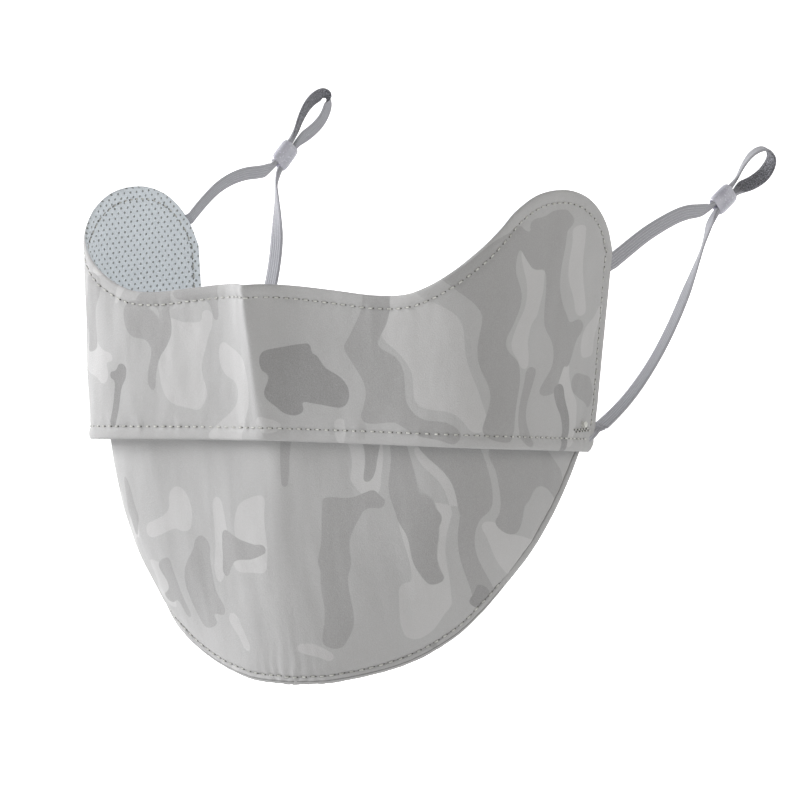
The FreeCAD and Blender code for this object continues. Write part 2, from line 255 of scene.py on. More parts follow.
def elastic_material():
    """Ribbed braid: ribs along it, small stitches across them, painted shade in the grooves, flecks, and a
    darker inner face that is partly painted shade inside the loop.
    """
    n = Nodes("elastic_braid", Roughness=0.72)
    place = n.place()
    across, along = n.cloth_axes()
    rib = n.math("SINE", n.math("MULTIPLY", across, 2 * math.pi / RIB_PITCH))
    stitch = n.math("SINE", n.math("ADD", n.math("MULTIPLY", along, 2 * math.pi / BRAID_STITCH),
                                   n.math("MULTIPLY", n.math("ABSOLUTE", rib), 2.2)))
    fleck = n.noise(place, 2100.0, 3.0, 0.65)
    surface = n.math("ADD", n.math("MULTIPLY", rib, 0.6), n.math("MULTIPLY", stitch, 0.35))
    pale = n.mix(n.step(fleck, 0.38, 0.66), BRAID_LOW, BRAID_HIGH)
    # Painted groove shade, mixed in by the rib wave.
    pale = n.mix(n.math("MULTIPLY", n.step(rib, -0.2, -1.0), 0.5), BRAID_GROOVE_SHADE, pale)
    # The inner face's colour: darker cloth with painted shade, from the stored inner mark.
    inner_shaded = n.mix(n.step(fleck, 0.42, 0.66), BRAID_INNER_SHADED_LOW, BRAID_INNER_SHADED_HIGH)
    n.set(Base_Color=n.mix(n.attribute("inner"), pale, inner_shaded), Normal=n.bump(surface, 0.55, 0.00025))
    n.set(Sheen_Weight=0.2, Sheen_Roughness=0.45, Specular_IOR_Level=0.3)
    return n.material


def thread_material():
    """Twisted thread, pale grey-olive, with painted shade where each stitch's ends go into the cloth."""
    n = Nodes("sewing_thread", Roughness=0.6)
    from_middle, along = n.cloth_axes()
    ply = n.math("SINE", n.math("MULTIPLY", along, 2 * math.pi / PLY_PITCH))
    tone = n.step(n.noise(n.place(), 900.0, 2.0), 0.35, 0.65)
    colour = n.mix(tone, THREAD_LOW, THREAD_HIGH)
    # Painted shade in the ply grooves, following the twist.
    colour = n.mix(n.math("MULTIPLY", n.step(ply, 0.0, 1.0), 0.3), colour, THREAD_GROOVE_SHADE)
    # Painted shade at both ends of each stitch, where it dives into the cloth.
    ends = n.step(n.math("ABSOLUTE", from_middle), 0.3, 0.78)
    n.set(Base_Color=n.mix(ends, colour, THREAD_END_SHADE), Normal=n.bump(ply, 0.7, 0.00012))
    n.set(Sheen_Weight=0.15, Specular_IOR_Level=0.4)
    return n.material


def silicone_material():
    """Cloudy, slightly translucent moulded silicone."""
    n = Nodes("bead_silicone", Roughness=0.36)
    place = n.place()
    cloud = n.step(n.noise(place, 260.0, 3.0), 0.3, 0.7)
    n.set(Base_Color=n.mix(cloud, BEAD_LOW, BEAD_HIGH),
          Roughness=n.math("MULTIPLY_ADD", n.noise(place, 1400.0, 2.0), 0.12, 0.2),
          Normal=n.bump(n.noise(place, 700.0, 2.0), 0.08, 0.0003))
    n.set(Subsurface_Weight=0.55, Subsurface_Scale=0.0016, Subsurface_Radius=(1.0, 0.95, 1.1), IOR=1.41)
    n.set(Transmission_Weight=0.18, Coat_Weight=0.4, Coat_Roughness=0.1)
    return n.material


# ---- the cloth's shape: the CAD model's, with its folds rounded ----

# Plans are (x, y) from the nose ridge to the rear edge; edges are (distance along the cloth, height).
BAND_HEIGHT = 55.5
RIDGE_PLAN = [(0, 0), (6.5, 5.2), (13, 9.2), (27, 12.6), (45, 14.8), (62, 16.8), (75, 20), (84, 25.4),
              (88.8, 33), (90.6, 44), (90.9, 60), (90.3, 82), (88.9, 104.8)]
HEM_PLAN = [(0, 11.8), (7, 14.8), (15, 16.8), (29, 18.4), (46, 19.8), (62, 21), (75, 23.6), (84.2, 28.4),
            (89, 36), (90.2, 47), (90, 62), (87.6, 83), (83.6, 103)]
BAND_HALF = 171
TOP_EDGE = [(0, 0), (8, 0.4), (20, -0.2), (34, -1.6), (50, -3.2), (62, -2.8), (71, 0.2), (80, 5.2), (89, 12),
            (98, 19.4), (107, 26.4), (120, 31.9), (136, 33.6), (149, 31.6), (159, 26.8), (166.5, 19.6),
            (BAND_HALF, 11.5)]
HEM_EDGE = [(0, -55.3), (50, -55.9), (97, -57), (BAND_HALF, -60.5)]
CHIN_PLAN = [(0, 16.2), (7, 18.6), (15, 20.4), (29, 22), (46, 23.4), (61, 24.8), (73, 27.8), (81, 33.4),
             (85, 41), (86, 52), (85.8, 65), (84.4, 82), (81.6, 98)]
# The chin panel's lower edge, as (x, y, z).
CHIN_EDGE = [(0, 30.6, -142.6), (19, 33.6, -141.2), (41, 42.6, -135.2), (57.5, 48.1, -126),
             (67, 53.1, -116.4), (73.5, 59.1, -106.2), (78.6, 67.6, -95), (81.4, 77.1, -82.8),
             (82.2, 87.1, -70), (81.8, 97.1, -57)]
CHIN_TOP_FRONT = -35
CHIN_TOP_REAR = -46
CHIN_FULLNESS = 0.12
CHIN_DROP = 0.72
CHIN_HALF = 150
RIDGE_ROUND_TOP = 1.4
RIDGE_ROUND_HEM = 4.0
CHIN_ROUND = 8.0
PANEL = 1.6
BINDING = 4.5
HEM_INSET = 4.6
STITCH_PITCH = 3.7
CORNER = 5.0
FACE_INSET = 0.35
LINE_STEPS = 16
SIDES = {"left": 1, "right": -1}
INSIDE_POINT = np.array([0, 70, -50])


def line_lengths(points):
    """The distance along a line of points to each of them."""
    return np.concatenate([[0], np.cumsum(np.linalg.norm(np.diff(points, axis=0), axis=1))])


def smooth_line(points):
    """Points along a smooth line through the given ones, and each one's share of the length."""
    points = [np.array((*p, 0)[:3], float) for p in points]
    ends = [2 * points[0] - points[1]] + points + [2 * points[-1] - points[-2]]
    line = [points[0]]
    for a, b, c, d in zip(ends, ends[1:], ends[2:], ends[3:]):
        for i in range(1, LINE_STEPS + 1):
            t = i / LINE_STEPS
            line.append(0.5 * (2 * b + (c - a) * t + (2 * a - 5 * b + 4 * c - d) * t**2
                               + (3 * b - a - 3 * c + d) * t**3))
    line = np.array(line)
    length = line_lengths(line)
    return length / length[-1], line


def read_line(line, share):
    return np.stack([np.interp(share, line[0], line[1][:, k]) for k in range(3)], axis=-1)


def height(profile, distance):
    """A profile's height at those distances, on a smooth line through its points."""
    x, y = np.array(profile, float).T
    after, before = np.minimum(np.arange(len(x)) + 1, len(x) - 1), np.maximum(np.arange(len(x)) - 1, 0)
    slope = (y[after] - y[before]) / (x[after] - x[before])
    distance = np.clip(distance, x[0], x[-1])
    i = np.clip(np.searchsorted(x, distance, side="right") - 1, 0, len(x) - 2)
    run = x[i + 1] - x[i]
    t = (distance - x[i]) / run
    return (y[i] * (1 + 2 * t) * (1 - t) ** 2 + slope[i] * run * t * (1 - t) ** 2
            + y[i + 1] * t * t * (3 - 2 * t) + slope[i + 1] * run * t * t * (t - 1))


ridge_line, hem_line = smooth_line(RIDGE_PLAN), smooth_line(HEM_PLAN)
chin_line, edge_line = smooth_line(CHIN_PLAN), smooth_line(CHIN_EDGE)


def band(distance, z):
    """The band's outer face with its fold rounded, at distances along the cloth and heights."""
    share = np.minimum(np.abs(distance) / BAND_HALF, 1)
    low = (-z / BAND_HEIGHT)[..., None]
    top, hem = read_line(ridge_line, share), read_line(hem_line, share)
    for edge, line, round_off in ((top, ridge_line, RIDGE_ROUND_TOP), (hem, hem_line, RIDGE_ROUND_HEM)):
        soft = np.minimum(np.hypot(share, round_off / BAND_HALF), 1)
        edge[..., 1] = read_line(line, soft)[..., 1]
    point = top + (hem - top) * low
    point[..., 0] *= np.where(distance < 0, -1, 1)
    point[..., 2] = z
    return point


def chin(share, drop):
    """The chin panel's outer face: share from -1 to 1 across it, drop from 0 at its top to 1 at its hem."""
    reach = np.minimum(np.abs(share), 1)
    top, edge = read_line(chin_line, reach), read_line(edge_line, reach)
    soft = np.minimum(np.hypot(reach, CHIN_ROUND / CHIN_HALF), 1)
    top[..., 1], edge[..., 1] = read_line(chin_line, soft)[..., 1], read_line(edge_line, soft)[..., 1]
    top[..., 2] = CHIN_TOP_FRONT + (CHIN_TOP_REAR - CHIN_TOP_FRONT) * reach**2
    middle = top + (edge - top) * CHIN_FULLNESS
    middle[..., 2] = top[..., 2] + (edge[..., 2] - top[..., 2]) * CHIN_DROP
    t = np.asarray(drop)[..., None]
    point = top * (1 - t) ** 2 + middle * 2 * t * (1 - t) + edge * t**2
    point[..., 0] *= np.where(share < 0, -1, 1)
    return point


def outward(face, a, b, step):
    """The face's unit normals, away from the wearer."""
    normal = np.cross(face(a + step, b) - face(a - step, b), face(a, b + step) - face(a, b - step))
    normal /= np.linalg.norm(normal, axis=-1, keepdims=True)
    away = (normal * (face(a, b) - INSIDE_POINT)).sum(-1, keepdims=True)
    return normal * np.where(away < 0, -1, 1)


def band_normal(distance, z):
    return outward(band, np.clip(distance, 0.5 - BAND_HALF, BAND_HALF - 0.5), z, 0.4)


def chin_normal(share, drop):
    return outward(chin, np.clip(share, -0.99, 0.99), np.clip(drop, 0.01, 0.985), 0.008)


# ---- small noises ----

def waves(x, y, size, seed, octaves=3):
    """A smooth random height at each place, mostly within -1 to 1, with features of about that size."""
    made, rng = np.zeros_like(x, float), np.random.default_rng(seed)
    total = 0.0
    for octave in range(octaves):
        share = 0.55**octave
        for _ in range(7):
            turn, phase = rng.uniform(0, 2 * math.pi, 2)
            pitch = size / 2**octave * rng.uniform(0.75, 1.5)
            made += share * np.sin((x * math.cos(turn) + y * math.sin(turn)) * 2 * math.pi / pitch + phase)
        total += share
    return made / total / 2.6


def outline_distance(x, y, outline):
    """How far each place is from an outline of points, and how far along it the nearest point is."""
    a, b = outline[:-1], outline[1:]
    run = b - a
    length = np.linalg.norm(run, axis=1)
    start = np.concatenate([[0], np.cumsum(length)])[:-1]
    best, where = np.full(x.shape, 1e9), np.zeros(x.shape)
    for k in range(len(a)):
        t = np.clip(((x - a[k, 0]) * run[k, 0] + (y - a[k, 1]) * run[k, 1]) / length[k] ** 2, 0, 1)
        far = np.hypot(x - a[k, 0] - t * run[k, 0], y - a[k, 1] - t * run[k, 1])
        nearer = far < best
        best = np.where(nearer, far, best)
        where = np.where(nearer, start[k] + t * length[k], where)
    return best, where


# ---- the print ----

# How softly strokes run into each other, and how far and over what size their outlines wander.
STROKE_JOIN = 3.4
WANDER_ACROSS = 3.4
WANDER_UP = 4.5
WANDER_SIZE_ACROSS = 27
WANDER_SIZE_UP = 34


def stroke_field(x, y, strokes):
    """How far inside the nearest stroke each place is. A stroke is (x0, y0, x1, y1, both ends' radius)."""
    field = np.full(x.shape, -60.0)
    for x0, y0, x1, y1, r0, r1 in strokes:
        run = (x1 - x0) ** 2 + (y1 - y0) ** 2 + 1e-6
        t = np.clip(((x - x0) * (x1 - x0) + (y - y0) * (y1 - y0)) / run, 0, 1)
        far = np.hypot(x - x0 - t * (x1 - x0), y - y0 - t * (y1 - y0))
        inside = r0 + (r1 - r0) * t - far
        both = np.clip(0.5 + 0.5 * (field - inside) / STROKE_JOIN, 0, 1)
        field = inside + (field - inside) * both + STROKE_JOIN * both * (1 - both)
    return field


def drips(seed, low, high, bottom, top, count, width):
    """Random tall strokes with a branch each, for the parts of the print that no stroke below describes."""
    rng = np.random.default_rng(seed)
    made = []
    for k in range(count):
        x = low + (high - low) * (k + rng.uniform(0.2, 0.8)) / count
        y = rng.uniform(bottom, top)
        lean, tall = rng.uniform(-7, 7), rng.uniform(9, 26)
        r = width * rng.uniform(0.7, 1.25)
        made.append((x, y, x + lean, y - tall, r, r * rng.uniform(0.4, 0.9)))
        side = rng.choice((-1, 1))
        branch = (x + side * rng.uniform(5, 10), y - tall * rng.uniform(0.2, 0.8))
        made.append((x, y - tall * 0.3, *branch, r * 0.8, r * 0.6))
    return made


# Strokes on the side that is seen best, on each panel's own cloth; drips() fills the other side.
BAND_DARKEST = [(9, -25, 19, -26.5, 3.4, 4.6), (18, -31, 25, -34, 6.4, 7), (13, -36, 14.5, -45, 6, 5.4),
                (136, -40, 138, -50, 4, 3)]
BAND_DARK = [(49, 0, 47.5, -22, 7, 6.4), (47.5, -22, 52, -40, 6.6, 8.6), (54, -40, 74, -56, 7, 5.6),
             (83, 4, 94, -3, 5, 10), (92, 3, 108, 19, 8, 6), (95, -4, 99, -22, 9.5, 6),
             (99, -22, 98, -48, 5.4, 6.6), (110, 20, 122, 12, 4, 9), (124, 26, 136, 22, 5, 6),
             (130, 12, 132, -14, 7, 6.6), (133, -14, 128, -40, 5.6, 5), (140, -22, 150, -16, 6, 5),
             (152, -36, 160, -44, 5.4, 4), (112, -30, 112, -52, 4, 4)]
BAND_LIGHT = [(61, -7, 66, -18, 7, 9.5), (68, -20, 76, -30, 10, 10), (80, -34, 88, -46, 8.6, 5.6),
              (116, 10, 112, -12, 4.4, 3.6), (112, -12, 108, -24, 4, 2.4), (121, 14, 118, -8, 3.6, 3),
              (144, 14, 149, -4, 3.4, 4.4), (138, -28, 143, -44, 5, 6), (158, -24, 163, -4, 3, 3.2),
              (30, -50, 33, -56, 3, 3.6), (2, -50, 4, -56, 2, 3)]
BAND_DARK += drips(3, -166, -12, -34, 20, 8, 5.2)
BAND_LIGHT += drips(5, -160, -6, -46, 24, 9, 5.6)
BAND_DARKEST += drips(8, -150, -40, -44, 0, 2, 3.4)
CHIN_DARKEST = [(76, -104, 74, -112, 2.4, 3.6)]
CHIN_DARK = [(28, -76, 24, -100, 7, 6.4), (25, -98, 20, -124, 6.4, 4.6), (36, -72, 42, -76, 6, 4),
             (50, -54, 58, -88, 6, 4.2), (58, -88, 62, -98, 4.2, 2.6), (38, -48, 36, -58, 5, 3.4),
             (72, -54, 76, -76, 10, 7.4), (77, -76, 76, -108, 6, 4.4), (98, -60, 128, -72, 13, 7),
             (96, -66, 92, -80, 9, 5), (8, -60, 6, -72, 4, 2), (88, -116, 92, -124, 4, 4)]
CHIN_LIGHT = [(34, -56, 38, -66, 5.6, 4.6), (60, -84, 58, -112, 6.4, 7.2), (50, -104, 54, -116, 5, 7),
              (64, -62, 68, -74, 3.6, 4.4), (96, -92, 108, -98, 6.4, 5.2), (88, -86, 98, -94, 4, 5),
              (10, -128, 16, -134, 4, 3), (66, -130, 76, -128, 3, 2.4), (-10, -80, -14, -102, 5.6, 3.4),
              (-22, -122, -18, -134, 4.4, 3)]
CHIN_DARK += drips(13, -132, -14, -104, -58, 7, 4.8)
CHIN_LIGHT += drips(15, -128, -20, -110, -60, 7, 5.0)
BAND_PRINT = {"light": BAND_LIGHT, "dark": BAND_DARK, "darkest": BAND_DARKEST}
CHIN_PRINT = {"light": CHIN_LIGHT, "dark": CHIN_DARK, "darkest": CHIN_DARKEST}


def store(mesh, name, values):
    """Keeps a value for each of the mesh's points, for a material to read."""
    layer = mesh.attributes.new(name, "FLOAT", "POINT")
    layer.data.foreach_set("value", values.ravel().astype(np.float32))


def paint(mesh, x, y, seed, tones):
    """Stores each tone's field on the mesh, from its strokes, with outlines that wander a little."""
    wandered_x = x + waves(x, y, WANDER_SIZE_ACROSS, seed, 1) * WANDER_ACROSS
    wandered_y = y + waves(x, y, WANDER_SIZE_UP, seed + 1, 1) * WANDER_UP
    for name, strokes in tones.items():
        store(mesh, f"camo_{name}", stroke_field(wandered_x, wandered_y, strokes))


# ---- meshes ----

def add_object(name, mesh, material):
    mesh.materials.append(material)
    mesh.polygons.foreach_set("use_smooth", [True] * len(mesh.polygons))
    made = bpy.data.objects.new(name, mesh)
    bpy.context.collection.objects.link(made)
    return made


def cloth_mesh(name, vertices, faces, uv):
    """A mesh from its vertices and their cloth coordinates, both in millimetres."""
    mesh = bpy.data.meshes.new(name)
    mesh.from_pydata((np.array(vertices) * MM).tolist(), [], faces)
    loops = np.zeros(len(mesh.loops), int)
    mesh.loops.foreach_get("vertex_index", loops)
    layer = mesh.uv_layers.new(name="cloth")
    layer.data.foreach_set("uv", np.array(uv)[loops].ravel().astype(np.float32))
    return mesh


def grid_mesh(name, points, uv, flip=False):
    """A mesh through a grid of points, rows by columns, with a cloth coordinate for each."""
    rows, columns = points.shape[:2]
    index = np.arange(rows * columns).reshape(rows, columns)
    corners = [index[:-1, :-1], index[:-1, 1:], index[1:, 1:], index[1:, :-1]]
    faces = np.stack(corners, axis=-1).reshape(-1, 4)
    if flip:
        faces = faces[:, ::-1]
    return cloth_mesh(name, points.reshape(-1, 3), faces.tolist(), uv.reshape(-1, 2))


# The round of a turned edge, and the shape that a line of stitching gives the cloth, in millimetres.
ROLL = 0.8
GROOVE_DEPTH = 0.34
GROOVE_WIDTH = 1.05
DIMPLE_DEPTH = 0.16
DIMPLE_WIDTH = 0.9
PUCKER_SIZE = 8
PUCKER_WIDTH = 3.6
FULLNESS = 0.22


def bell(value, width):
    """1 at zero, falling to 0 a few widths away."""
    return np.exp(-((value / width) ** 2))


def roll_depth(edge):
    """How far the face sinks near a turned edge, so that the edge is round."""
    inner = np.clip((ROLL - edge) / ROLL, 0, 1)
    return ROLL * (1 - np.sqrt(1 - inner**2))


def seam_depth(edge, along, seed):
    """The groove, small dimples and puckers that a line of stitching leaves, and the soft roll outside it."""
    aside = edge - HEM_INSET
    groove = GROOVE_DEPTH * bell(aside, GROOVE_WIDTH)
    dimples = DIMPLE_DEPTH * np.cos(2 * math.pi * along / STITCH_PITCH) * bell(aside, DIMPLE_WIDTH)
    puckers = DIMPLE_DEPTH * waves(along, along * 0, PUCKER_SIZE, seed) * bell(aside, PUCKER_WIDTH)
    fullness = FULLNESS * np.sin(math.pi * np.clip(edge / HEM_INSET, 0, 1))
    return groove + dimples + puckers * np.clip(edge, 0, 1) - fullness


EDGE_STEPS = [0, 0.05, 0.18, 0.42, 0.8, 1.4, 2.1]
EVEN_FROM = 2.8
GRID_STEP = 0.95
BAND_ROWS = 80


def dense_range(length, step):
    """Distances from 0 to length, closer together near both ends."""
    inner = np.linspace(EVEN_FROM, length - EVEN_FROM, int(length / step))
    return np.concatenate([EDGE_STEPS, inner, length - np.array(EDGE_STEPS[::-1])])


def band_hem(distance):
    """The band's lower edge, with its rear corners rounded."""
    past = np.clip(np.abs(distance) - (BAND_HALF - CORNER), 0, CORNER)
    return height(HEM_EDGE, np.abs(distance)) + CORNER - np.sqrt(np.maximum(CORNER**2 - past**2, 0))


def band_outline():
    """The band's outline on its cloth, as distances and heights, once round from a rear edge's top."""
    across = np.linspace(-BAND_HALF, BAND_HALF, 260)
    top = np.stack([across, height(TOP_EDGE, np.abs(across))], axis=1)
    hem = np.stack([across[::-1], band_hem(across[::-1])], axis=1)
    return np.concatenate([top, hem, top[:1]])


BAND_OUTLINE = band_outline()


def band_depth(distance, z):
    """How far each place is from the edge, and how far its cloth lies inside the CAD model's smooth face."""
    edge, along = outline_distance(distance, z, BAND_OUTLINE)
    soft = 0.45 * waves(distance, z, 62, 21) + 0.16 * waves(distance, z * 0.5, 19, 22)
    crease = -0.25 * bell(distance, 3.0) * np.clip((z + 55) / 55, 0, 1)
    calm = np.clip(edge / 6, 0, 1)
    return edge, roll_depth(edge) + seam_depth(edge, along, 31) + FACE_INSET + soft * calm + crease


def cloth_pieces(cloth, lining, body):
    """Says what a panel's two layers move with and stand for."""
    for piece, layer, slot in ((cloth, "outer", "camo_cloth"), (lining, "lining", "mesh_lining")):
        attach(piece, body)
        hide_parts(f"{body}_{layer}")


def make_band():
    """The band's outer cloth and its lining, each turned in at the edge to meet the other."""
    across = dense_range(2 * BAND_HALF, GRID_STEP) - BAND_HALF
    steps = dense_range(BAND_ROWS, 1) / BAND_ROWS
    low, high = band_hem(across), height(TOP_EDGE, np.abs(across))
    z = low[None] + (high - low)[None] * steps[:, None]
    distance = np.broadcast_to(across[None], z.shape).copy()
    base, normal = band(distance, z), band_normal(distance, z)
    edge, depth = band_depth(distance, z)
    uv = np.stack([distance, z], axis=-1)
    outer = grid_mesh("band_cloth", base - normal * np.minimum(depth, PANEL / 2)[..., None], uv)
    paint(outer, distance, z, 41, BAND_PRINT)
    cloth = add_object("band_cloth", outer, camo)
    inner_depth = PANEL - roll_depth(edge) - 0.5 * (depth - roll_depth(edge) - FACE_INSET)
    inside = base - normal * np.maximum(inner_depth, PANEL / 2)[..., None]
    inner = grid_mesh("band_lining_cloth", inside, uv, flip=True)
    lining = add_object("band_lining_cloth", inner, mesh_lining)
    cloth_pieces(cloth, lining, "band")


def chin_place(share, drop):
    """The chin panel's cloth coordinates: distance from its middle line, and height."""
    return share * CHIN_HALF, chin(share, drop)[..., 2]


def chin_lengths(share):
    """How long the chin panel is from its top edge to its lower edge."""
    drops = np.linspace(0, 1, 30)
    points = chin(share[None] + 0 * drops[:, None], drops[:, None] + 0 * share[None])
    return np.linalg.norm(np.diff(points, axis=0), axis=-1).sum(0)


# The gathers under the chin: where their middle is, how wide they spread and how far apart they are.
GATHER_MIDDLE = 2
GATHER_SPREAD = 15
PLEAT_PITCH = 4.4


def chin_depth(share, drop, edge):
    """How far the chin cloth lies inside the CAD model's smooth face: soft waves, and gathers at the chin."""
    across, z = chin_place(share, drop)
    above = np.maximum(edge - BINDING, 0)
    soft = 0.55 * waves(across, z, 58, 51) + 0.14 * waves(across, z * 0.4, 17, 52)
    gather = 0.3 * bell(across - GATHER_MIDDLE, GATHER_SPREAD) * np.exp(-above / 9)
    pleats = gather * np.sin(2 * math.pi * across / PLEAT_PITCH + waves(across, z, 20, 53) * 1.6)
    pull = 0.22 * waves(across, across * 0, 9, 54) * np.exp(-above / 5)
    groove = GROOVE_DEPTH * bell(edge - BINDING, 1.0)
    fold = -0.3 * bell(across - 1, 5) * np.clip(-(z + 90) / 50, 0, 1)
    return FACE_INSET + soft * np.clip(edge / 8, 0, 1) + pleats + pull + groove + fold


# Where the chin panel's rows of points near its lower edge are, by distance from it.
NEAR_HEM = [0, 1.5, 3, 3.8, 4.1, 4.35, 4.5, 4.65, 4.9, 5.2, 5.8, 6.8]
CHIN_ROWS = 98
CHIN_RAISED = -0.3
CHIN_SUNK = 1.0
# The painted shade of the open gap between layers, a dark line: its width, its height on the strip, and the
# share of the panel's half past which it runs along the strip's upper edge instead.
GAP_SHADE_WIDTH = 0.33
LAYER_STEP = 2.1
LAYER_SHOWS = 0.6
LAYER_FADE = 0.05
GAP_SHADE_FAINT = 0.12
GAP_SHADE_DARK = 0.85


def make_chin():
    """The chin panel's outer cloth and its lining."""
    share = (dense_range(2 * CHIN_HALF, GRID_STEP) - CHIN_HALF) / CHIN_HALF
    length = chin_lengths(share)
    near, far = np.array(NEAR_HEM)[:, None], np.linspace(0, 1, CHIN_ROWS)[1:, None]
    edge = np.concatenate([near + 0 * length, near[-1] + (length - near[-1]) * far])[::-1]
    drop = 1 - edge / length
    shares = share[None] + 0 * drop
    base, normal = chin(shares, drop), chin_normal(shares, drop)
    depth = chin_depth(shares, drop, edge)
    across, z = chin_place(shares, drop)
    uv = np.stack([across, z], axis=-1)
    face = base - normal * np.clip(depth, CHIN_RAISED, CHIN_SUNK)[..., None]
    outer = grid_mesh("chin_cloth", face, uv, flip=True)
    paint(outer, across, z, 61, CHIN_PRINT)
    # Painted shade of the gap just above the strip, faint in front and darker past LAYER_SHOWS.
    strength = np.clip((shares - LAYER_SHOWS) / LAYER_FADE, GAP_SHADE_FAINT, GAP_SHADE_DARK)
    store(outer, "gap_shade", bell(edge - BINDING, GAP_SHADE_WIDTH) * strength)
    cloth = add_object("chin_cloth", outer, camo)
    inside = base - normal * np.clip(PANEL - 0.4 * depth, 1.1, 1.8)[..., None]
    lining = add_object("chin_lining_cloth", grid_mesh("chin_lining_cloth", inside, uv), mesh_lining)
    cloth_pieces(cloth, lining, "chin")


BINDING_COLUMNS = 420
BINDING_SIDES = 28
BINDING_SQUARE = 0.55
BINDING_PRINT_SHIFT = 40


def make_binding():
    """The strip folded over the chin panel's lower edge: a flat tube of cloth, puckered along its seam."""
    share = np.linspace(-1, 1, BINDING_COLUMNS)
    length = chin_lengths(share)
    along = share * CHIN_HALF
    rows, heights, gap_shades = [], [], []
    wide, half = BINDING - 0.2, PANEL / 2 + 0.28
    for turn in np.linspace(0, 2 * math.pi, BINDING_SIDES + 1):
        up = 0.5 - 0.5 * math.cos(turn)
        out = math.sin(turn)
        full = math.copysign(abs(out) ** BINDING_SQUARE, out)
        drop = 1 - (up * wide + 0.05) / length
        place, normal = chin(share, drop), chin_normal(share, drop)
        pucker = 0.13 * waves(along, along * 0 + up * 2, 6.5, 71) * (0.3 + 0.7 * up)
        pucker += 0.32 * bell(along - GATHER_MIDDLE, 14) * np.sin(2 * math.pi * along / PLEAT_PITCH) * up
        pinch = 0.24 * bell(up - 0.9, 0.14)
        rows.append(place - normal * (PANEL / 2 - (half - pinch + pucker) * full)[..., None])
        heights.append(place[..., 2])
        # Painted shade of the gap between layers, on the strip's outer face, where share is below
        # LAYER_SHOWS.
        front_shade = np.clip(out * 3, 0, 1) * np.clip((LAYER_SHOWS - share) / LAYER_FADE, 0, GAP_SHADE_DARK)
        gap_shades.append(front_shade * bell(up * wide - LAYER_STEP, GAP_SHADE_WIDTH))
    z = np.array(heights)
    distance = np.broadcast_to(along, z.shape).copy()
    mesh = grid_mesh("chin_binding_cloth", np.array(rows), np.stack([distance, z], axis=-1))
    paint(mesh, distance + BINDING_PRINT_SHIFT, z, 81, CHIN_PRINT)
    store(mesh, "gap_shade", np.array(gap_shades))
    strip = add_object("chin_binding_cloth", mesh, camo)
    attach(strip, "chin")
    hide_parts("chin_binding")


STITCH_RINGS = 7
STITCH_SIDES = 8
STITCH_DIVE = 0.42


def tube_faces(first, rings, sides):
    """The faces of a closed tube whose rings of vertices follow one another from the first index on."""
    faces = []
    for i in range(rings - 1):
        for j in range(sides):
            a, b = first + i * sides + j, first + i * sides + (j + 1) % sides
            faces.append((a, b, b + sides, a + sides))
    faces.append(tuple(first + j for j in reversed(range(sides))))
    faces.append(tuple(first + (rings - 1) * sides + j for j in range(sides)))
    return faces


def stitches(name, points, normals, rise, radius=0.31, long=3.0, pitch=STITCH_PITCH, node=None, body=None):
    """Separate stitches along a seam: each a short twisted thread that dives into the cloth at both ends."""
    step = line_lengths(points)

    def read(values, distance):
        return np.array([np.interp(distance, step, values[:, c]) for c in range(3)])

    vertices, faces, uvs = [], [], []
    for k in range(int(step[-1] / pitch)):
        reach = long / 2 * random.uniform(0.9, 1.08)
        aside = random.uniform(-0.09, 0.09)
        faces += tube_faces(len(vertices), STITCH_RINGS, STITCH_SIDES)
        for t in np.linspace(-1, 1, STITCH_RINGS):
            here = (k + 0.5) * pitch + t * reach
            centre, normal = read(points, here), unit(read(normals, here))
            side = np.cross(unit(read(points, here + 0.3) - centre + 1e-9), normal)
            lift = rise + radius * 0.7 * (1 - t * t) - STITCH_DIVE * abs(t) ** 5
            width = radius * (1 - 0.35 * t * t)
            for j in range(STITCH_SIDES):
                turn = 2 * math.pi * j / STITCH_SIDES
                vertices.append(centre + normal * (lift + width * 0.8 * math.sin(turn))
                                + side * (aside * t + width * math.cos(turn)))
                uvs.append((t, here + j / STITCH_SIDES * PLY_PITCH))
    made = add_object(name, cloth_mesh(name, vertices, faces, uvs), thread)
    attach(made, body)
    if node:
        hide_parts(node)


def on_band(route):
    """The points of a route over the band's own face, and the face's normals there."""
    distance, z = route[:, 0], route[:, 1]
    normal = band_normal(distance, z)
    _, depth = band_depth(distance, z)
    return band(distance, z) - normal * depth[..., None], normal


def band_seam(name, route, node):
    """A row of stitches along a route, and the same row on the inside."""
    points, normal = on_band(route)
    stitches(name, points, normal, 0.05, node=node, body="band")
    inside = band(route[:, 0], route[:, 1]) - normal * (PANEL - 0.15)
    stitches(name + "_inside", inside, -normal, 0.02, body="band")


def make_band_seams():
    """The row above the hem, and the one that goes up a rear edge, along the top and down the other."""
    reach = BAND_HALF - HEM_INSET
    across = np.linspace(-reach, reach, 400)
    hem = np.stack([across, band_hem(across) + HEM_INSET], axis=1)
    band_seam("band_hem_thread", hem, "band_hem_stitches")
    fine = np.linspace(-BAND_HALF, BAND_HALF, 900)
    top = np.stack([fine, height(TOP_EDGE, np.abs(fine))], axis=1)
    run = np.gradient(top, axis=0)
    run /= np.linalg.norm(run, axis=1, keepdims=True)
    inset = top + np.stack([run[:, 1], -run[:, 0]], axis=1) * HEM_INSET
    inset = inset[(np.abs(inset[:, 0]) < reach) & (np.abs(fine) < BAND_HALF - 1.5)]
    lowest = band_hem(np.array([reach]))[0] + HEM_INSET + CORNER / 2
    down = np.linspace(inset[-1, 1] - 1, lowest, 60)
    right = np.stack([down * 0 + reach, down], axis=1)
    left = np.stack([down[::-1] * 0 - reach, down[::-1]], axis=1)
    band_seam("band_edge_thread", np.concatenate([left, inset, right]), "band_edge_stitches")


# Each bar's first and last distance along the cloth, and its height.
TACK_BARS = [(148, 166, -51.6), (150, 166, -52.39)]


